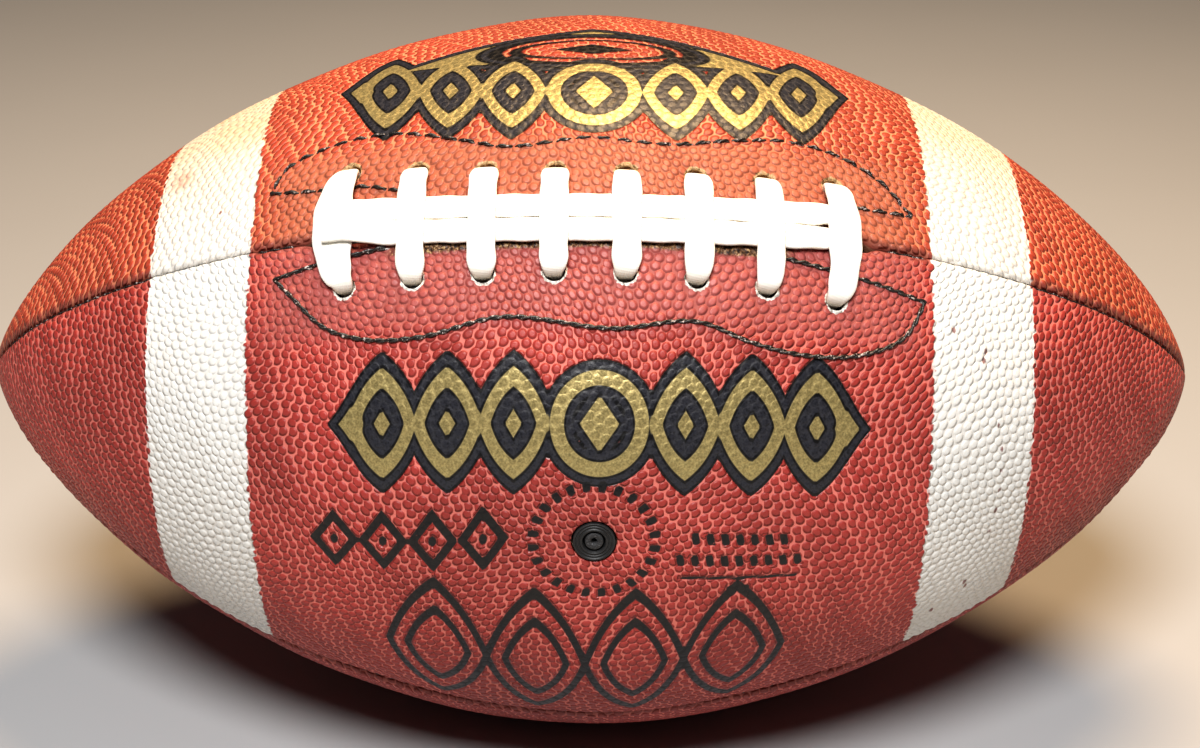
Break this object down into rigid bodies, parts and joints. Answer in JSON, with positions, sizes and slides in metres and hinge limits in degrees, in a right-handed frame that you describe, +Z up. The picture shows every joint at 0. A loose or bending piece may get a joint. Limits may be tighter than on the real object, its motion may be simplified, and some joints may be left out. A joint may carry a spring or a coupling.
{
  "type": "football",
  "caption": "Laced leather gridiron ball with pebbled panels, white stripe bands and a white lace, lying on a small flat spot.",
  "frame": {"origin": "centre of the flat spot under the ball, in the plane that it rests on, halfway along its length", "axes": "+X along the ball's long axis, tip to tip, with the lace's cut end towards -X; +Z up; the lace faces up and towards -Y"},
  "size_m": [0.2858, 0.1678, 0.1669],
  "materials": {
    "panel_leather": "pebbled, tacky semi-matt, with painted white stripe bands and gold foil ornament",
    "plain_leather": "pebbled, tacky semi-matt, without stripes",
    "lining_cloth": "coarse woven cotton",
    "facing_leather": "raw suede side",
    "bladder_rubber": "matt butyl rubber",
    "valve_rubber": "dull black moulded rubber",
    "lace_cord": "smooth white coated strap, slightly glossy",
    "dark_thread": "waxed twisted thread"
  },
  "bodies": {
    "root": {"front_panel": "panel_leather", "top_panel": "panel_leather", "rear_panel": "plain_leather", "bottom_panel": "plain_leather", "front_lining": "lining_cloth", "top_lining": "lining_cloth", "rear_lining": "lining_cloth", "bottom_lining": "lining_cloth", "lower_facing": "facing_leather", "upper_facing": "facing_leather", "bladder": "bladder_rubber", "valve_housing": "valve_rubber", "valve_plug": "valve_rubber", "lace": "lace_cord", "back_seam_thread": "dark_thread", "under_seam_thread": "dark_thread", "front_seam_thread": "dark_thread", "left_lace_seam_thread": "dark_thread", "right_lace_seam_thread": "dark_thread", "lower_facing_stitches": "dark_thread", "upper_facing_stitches": "dark_thread"}
  },
  "joints": []
}
